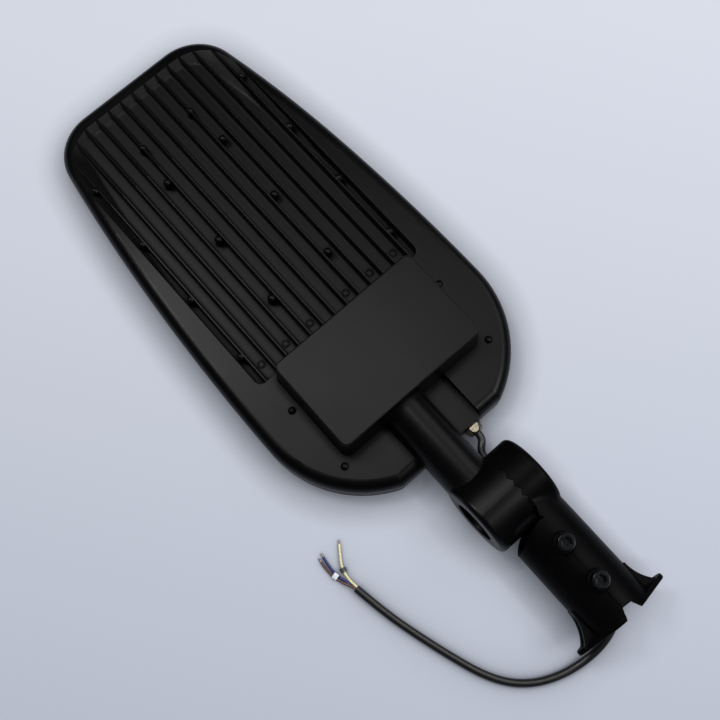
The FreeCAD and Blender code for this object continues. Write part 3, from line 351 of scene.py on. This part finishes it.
# The pole sleeve: a second casting, with the other half of the knuckle, a wall flange and two bosses
# for the clamp screws. It has the same powder coat, a little duller. The screws are blackened steel,
# oiled: dark, with a soft glint where their edges are broken.
sleeve_coat = powder_coat("powder-coated die-cast aluminium, sleeve", "#040405", "#070708", 0.36, 1.1)
finish_with("sleeve", sleeve_coat)
black_oxide = plain_finish(
    "black oxide on steel", "#1a1b1d", "#242528", 0.00125, 0.26, metallic=1.0, edge=0.0015
)
finish_with("clamp_screw_near", black_oxide)
finish_with("clamp_screw_far", black_oxide)

# The supply cable: three cores in a round black rubber sheath, extruded, with a slight lengthwise
# sheen. It runs from the terminal block out through the gland, through the knuckle and the sleeve,
# and lies on the ground beyond the sleeve's mouth, where it ends with its cores bared.
sheath = plain_finish("extruded black rubber sheath", "#060607", "#0b0b0c", 0.0038, 0.42, bump=0.2)
for piece in ("cable_in_head", "cable_in_sleeve"):
    finish_with(piece, sheath)
cable_diameter = 0.0078
# What lies on the ground stands this far off it, in millimetres.
resting_gap = 0.05


def smooth_cord(name, points, diameter, material):
    """A round cord on one smooth curve that follows its points, which are in millimetres."""
    curve = bpy.data.curves.new(name, "CURVE")
    curve.dimensions = "3D"
    curve.bevel_depth = diameter / 2
    curve.bevel_resolution = 5
    curve.resolution_u = 10
    curve.use_fill_caps = True
    line = curve.splines.new("NURBS")
    line.points.add(len(points) - 1)
    for point, place in zip(line.points, points):
        point.co = (*(v / 1000 for v in place), 1.0)
    line.order_u = 3
    line.use_endpoint_u = True
    curve.materials.append(material)
    cord = bpy.data.objects.new(name, curve)
    bpy.context.scene.collection.objects.link(cord)
    return cord


def line_length(cord):
    """The length of a cord's own line, in metres."""
    bare = cord.data.copy()
    bare.bevel_depth = 0
    stand_in = bpy.data.objects.new("length of " + cord.name, bare)
    bpy.context.scene.collection.objects.link(stand_in)
    bpy.context.view_layer.update()
    mesh = bpy.data.meshes.new_from_object(stand_in.evaluated_get(bpy.context.evaluated_depsgraph_get()))
    total = sum(
        (mesh.vertices[e.vertices[0]].co - mesh.vertices[e.vertices[1]].co).length for e in mesh.edges
    )
    bpy.data.objects.remove(stand_in)
    return total


# The cable's way, in millimetres: out of the sleeve, down to the ground and round to the bared end.
flange_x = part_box("sleeve")[1].x * 1000
sheath_rest = cable_diameter * 1000 / 2 + resting_gap
free_points = [
    (flange_x - 30.0, 14.0, 16.8),
    (flange_x - 21.8, 14.0, 16.8),
    (flange_x - 11.2, 11.0, 16.7),
    (flange_x - 1.9, 5.1, 16.1),
    (flange_x + 5.5, -3.0, 14.8),
    (flange_x + 9.9, -15.2, 12.2),
    (flange_x + 12.3, -31.0, 8.0),
    (flange_x + 11.0, -52.0, sheath_rest + 0.3),
    (flange_x + 5.4, -73.0, sheath_rest),
    (flange_x - 4.4, -93.0, sheath_rest),
    (flange_x - 20.0, -110.5, sheath_rest),
    (flange_x - 42.0, -124.0, sheath_rest),
    (flange_x - 72.0, -134.8, sheath_rest),
    (flange_x - 109.0, -146.2, sheath_rest),
    (flange_x - 146.0, -155.8, sheath_rest),
    (flange_x - 179.0, -161.0, sheath_rest),
]
free_cable = smooth_cord("free_cable", free_points, cable_diameter, sheath)
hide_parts("supply_cable")
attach(free_cable, "sleeve")

# The cores: fine-stranded copper in coloured insulation, bared for 4 mm and twisted. The brown and the
# blue one share a short clear sleeve, and the earth core carries a dark bead.
core_diameter = 0.0025
jacket_end = Vector(free_points[-1])
ahead = (jacket_end - Vector(free_points[-2])).normalized()
sideways = Vector((-ahead.y, ahead.x, 0))
core_rest = core_diameter * 1000 / 2 + resting_gap
core_off_middle = 1.6
core_straight = 4.0


def core_points(angle, places):
    """A core's line, in millimetres: straight out of the sheath at its angle in it, and on over its
    places on the ground."""
    across = core_off_middle * math.cos(math.radians(angle))
    up = core_off_middle * math.sin(math.radians(angle))
    start = jacket_end + sideways * across + Vector((0, 0, up))
    lying = [(jacket_end.x + x, jacket_end.y + y, core_rest + z) for x, y, z in places]
    return [tuple(start), tuple(start + ahead * core_straight)] + lying


# Extruded vinyl insulation: smooth, with a soft gloss.
blue_pvc = plain_finish("blue extruded vinyl", "#182257", "#243273", 0.002, 0.36)
brown_pvc = plain_finish("brown extruded vinyl", "#4a3030", "#5c3d3c", 0.002, 0.36)
earth_pvc = plain_finish("cream extruded vinyl", "#cfc793", "#ded8ab", 0.002, 0.36)
core_lines = {
    "blue": (
        -60,
        [(-11.0, -3.0, 0.0), (-19.5, -5.4, 0.0), (-31.0, -6.6, 0.0), (-43.5, -4.6, 0.0)],
        blue_pvc,
        "blue_pvc",
    ),
    "brown": (
        60,
        [(-10.5, -5.4, 2.0), (-19.5, -8.4, 0.0), (-30.5, -10.4, 0.0), (-41.2, -9.1, 0.0)],
        brown_pvc,
        "brown_pvc",
    ),
    "earth": (
        180,
        [(-10.5, 0.3, 1.95), (-17.5, 0.9, 1.95), (-25.5, 3.2, 1.95), (-33.5, 8.6, 0.6), (-42.6, 15.2, 0.0)],
        earth_pvc,
        "cream_pvc",
    ),
}
for colour, (angle, places, material, slot) in core_lines.items():
    points = core_points(angle, places)
    core = smooth_cord(colour + "_core", points, core_diameter, material)
    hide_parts("core_" + colour)
    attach(core, "sleeve")
    line_length(core)
# Tinned strands, twisted, are a dull silver with some copper in it. The bead is moulded, half matt, and
# the short vinyl sleeve is so small that it shows as a pale gloss.
tinned_copper = plain_finish("twisted tinned copper", "#8f8079", "#a3948c", 0.0011, 0.35, metallic=1.0)
finish_with("core_tips", tinned_copper)
finish_with("earth_bead", plain_finish("dark grey moulded bead", "#2c2e30", "#3a3d40", 0.002, 0.4))
finish_with("core_sleeve", plain_finish("clear extruded vinyl", "#c9ccd2", "#dde0e4", 0.0025, 0.25))
line_length(free_cable)

# The stretch of cable between the gland and the knuckle, made in two parts. When the knuckle turns, the
# pivot bolt first moves sideways to free the teeth, and then the sleeve turns. Its line is in
# millimetres, from the gland's mouth to the window in the knuckle.
mouth_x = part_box("gland_nut")[1].x * 1000
washer_low, washer_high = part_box("pivot_washer")
pivot = (washer_low + washer_high) * 1000 / 2
gland_y = 26.5
gland_z = 15.2
bridge_points = [
    (mouth_x, gland_y, gland_z),
    (mouth_x + 4.6, gland_y, gland_z),
    (mouth_x + 9.0, gland_y - 2.3, gland_z - 0.3),
    (mouth_x + 12.6, gland_y - 6.9, gland_z - 0.8),
    (mouth_x + 18.2, gland_y - 10.9, gland_z - 1.4),
    (mouth_x + 27.5, gland_y - 10.9, gland_z - 1.8),
    (pivot.x - 20.0, 16.4, 14.0),
    (pivot.x - 10.0, 17.2, 16.0),
    (pivot.x, 17.2, 17.0),
]
# Where it is cut in two: one part on the gland's side, one on the knuckle's side.
split_x = (mouth_x + 14.0) / 1000
bridge_line = smooth_cord("bridge_line", bridge_points, cable_diameter, sheath)
bpy.context.view_layer.update()


def bridge_part(name, kept_side):
    """The bridge's tube on one side of the split, closed where it is cut."""
    mesh = bpy.data.meshes.new_from_object(bridge_line.evaluated_get(bpy.context.evaluated_depsgraph_get()))
    form = bmesh.new()
    form.from_mesh(mesh)
    cut = bmesh.ops.bisect_plane(
        form,
        geom=form.verts[:] + form.edges[:] + form.faces[:],
        plane_co=(split_x, 0, 0),
        plane_no=(kept_side, 0, 0),
        clear_inner=True,
    )
    ring = [item for item in cut["geom_cut"] if isinstance(item, bmesh.types.BMEdge)]
    bmesh.ops.contextual_create(form, geom=ring)
    bmesh.ops.recalc_face_normals(form, faces=form.faces[:])
    form.to_mesh(mesh)
    form.free()
    mesh.shade_smooth()
    part = bpy.data.objects.new(name, mesh)
    bpy.context.scene.collection.objects.link(part)
    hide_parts("cable_bridge")
    return part


near_gland = bridge_part("bridge_cable_at_gland", -1)
near_knuckle = bridge_part("bridge_cable_at_knuckle", 1)
bpy.data.objects.remove(bridge_line)
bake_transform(near_gland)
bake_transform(near_knuckle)

# The stage: a wide sheet of pale blue-grey paper, matt, with a painted fall of light that makes it lighter
# towards its far edge. Its own glow keeps the background even, and painted shade keeps it darker close
# beside the head and the cable.
sheet_half_width = 4.0
light_fall_start = -0.42
light_fall_end = 0.36
painted_shade_reach = 0.038
painted_shade_power = 1.35
glow_share = 0.6
stage = bpy.data.meshes.new("stage")
stage_form = bmesh.new()
bmesh.ops.create_grid(stage_form, x_segments=2, y_segments=2, size=sheet_half_width)
stage_form.to_mesh(stage)
stage_form.free()
floor = bpy.data.objects.new("stage", stage)
bpy.context.scene.collection.objects.link(floor)
paper = bpy.data.materials.new("pale blue-grey paper")
paper.use_nodes = True
paper_tree = paper.node_tree
paper_place = add(paper_tree, "ShaderNodeTexCoord").outputs["Object"]
paper_turn = add(
    paper_tree, "ShaderNodeVectorMath", {0: paper_place, 1: (-0.7254, 0.6466, 0.0)}, operation="DOT_PRODUCT"
)
# Painted fall of light: the paper's colour runs from darker to lighter towards its far edge.
painted_light_fall = add(
    paper_tree,
    "ShaderNodeMapRange",
    {"Value": paper_turn.outputs["Value"], "From Min": light_fall_start, "From Max": light_fall_end},
)
paper_tint_with_painted_light = add(paper_tree, "ShaderNodeValToRGB", {"Fac": painted_light_fall.outputs["Result"]})
paper_tint_with_painted_light.color_ramp.elements[0].color = shade("#b6bcca")
paper_tint_with_painted_light.color_ramp.elements[1].color = shade("#d0d4df")
# Painted shade: the paper's colour, and so its glow, darkens close beside the head and the cable, where the
# floor is least open.
painted_close_shade = add(paper_tree, "ShaderNodeAmbientOcclusion", {"Distance": painted_shade_reach}, samples=8)
painted_close_shade = add(
    paper_tree, "ShaderNodeMath", {0: painted_close_shade.outputs["AO"], 1: painted_shade_power}, operation="POWER"
)
paper_colour_and_painted_light = add(
    paper_tree,
    "ShaderNodeVectorMath",
    {0: paper_tint_with_painted_light.outputs["Color"], 1: painted_close_shade.outputs["Value"]},
    operation="MULTIPLY",
)
paper_shader = paper_tree.nodes["Principled BSDF"]
paper_tree.links.new(paper_colour_and_painted_light.outputs["Vector"], paper_shader.inputs["Base Color"])
paper_shader.inputs["Roughness"].default_value = 0.9
paper_shader.inputs["Specular IOR Level"].default_value = 0.0
paper_ray = add(paper_tree, "ShaderNodeLightPath")
seen = add(
    paper_tree,
    "ShaderNodeMath",
    {0: paper_ray.outputs["Is Camera Ray"], 1: paper_ray.outputs["Is Glossy Ray"]},
    operation="MAXIMUM",
)
seen = add(
    paper_tree,
    "ShaderNodeMath",
    {0: seen.outputs["Value"], 1: paper_ray.outputs["Is Transmission Ray"]},
    operation="MAXIMUM",
)
share = add(paper_tree, "ShaderNodeMath", {0: seen.outputs["Value"], 1: glow_share}, operation="MULTIPLY")
glow = add(paper_tree, "ShaderNodeEmission", {"Color": paper_colour_and_painted_light.outputs["Vector"], "Strength": 1.0})
sheet = add(paper_tree, "ShaderNodeMixShader", {0: share.outputs["Value"]})
paper_tree.links.new(paper_shader.outputs["BSDF"], sheet.inputs[1])
paper_tree.links.new(glow.outputs["Emission"], sheet.inputs[2])
paper_tree.links.new(sheet.outputs["Shader"], paper_tree.nodes["Material Output"].inputs["Surface"])
stage.materials.append(paper)

# The light: a dim even room, a bright lamp beyond the head's tip, a softer one on the ceiling, and two
# on the gland's side, which draw the long highlights of the neck and the knuckle.
world = bpy.data.worlds.new("room")
bpy.context.scene.world = world
world.use_nodes = True
world.node_tree.nodes["Background"].inputs["Color"].default_value = shade("#f4f6fa")
world.node_tree.nodes["Background"].inputs["Strength"].default_value = 0.03


def lamp(name, place, aim, size, power):
    """A soft square lamp that faces its aim."""
    data = bpy.data.lights.new(name, "AREA")
    data.shape = "SQUARE"
    data.size = size
    data.energy = power
    item = bpy.data.objects.new(name, data)
    item.location = place
    item.rotation_euler = (Vector(aim) - Vector(place)).to_track_quat("-Z", "Y").to_euler()
    bpy.context.scene.collection.objects.link(item)


lamp("key lamp", (-0.95, -0.33, 2.0), (0.0, 0.0, 0.0), 0.5, 23.0)
lamp("ceiling lamp", (-0.3, 0.2, 2.0), (-0.3, 0.2, 0.0), 0.6, 9.0)
lamp("pole side lamp", (0.95, 0.7, 1.4), (0.2, 0.0, 0.0), 0.6, 16.0)
lamp("far side lamp", (0.1, 1.2, 1.4), (0.1, 0.0, 0.0), 1.0, 9.0)


# The camera: above the head's pole end, 14 degrees off straight down. Its lens is given as its focal
# length in pixels of the 720 pixel picture, on a sensor 36 mm wide.
focal_length_px = 947.3
picture_width_px = 720
sensor_width_mm = 36.0
right = Vector((0.6613, 0.7498, -0.0219))
down = Vector((0.7254, -0.6466, -0.2358))
forward = Vector((-0.191, 0.140, -0.9716))
camera_data = bpy.data.cameras.new("camera")
camera_data.sensor_fit = "HORIZONTAL"
camera_data.sensor_width = sensor_width_mm
camera_data.lens = focal_length_px / picture_width_px * sensor_width_mm
camera = bpy.data.objects.new("camera", camera_data)
turn = Matrix((right, -down, -forward)).transposed().to_quaternion().to_matrix().to_4x4()
camera.matrix_world = Matrix.Translation((0.2088, -0.1438, 0.9372)) @ turn
bpy.context.scene.collection.objects.link(camera)
bpy.context.scene.camera = camera
bpy.context.scene.view_settings.view_transform = "Standard"
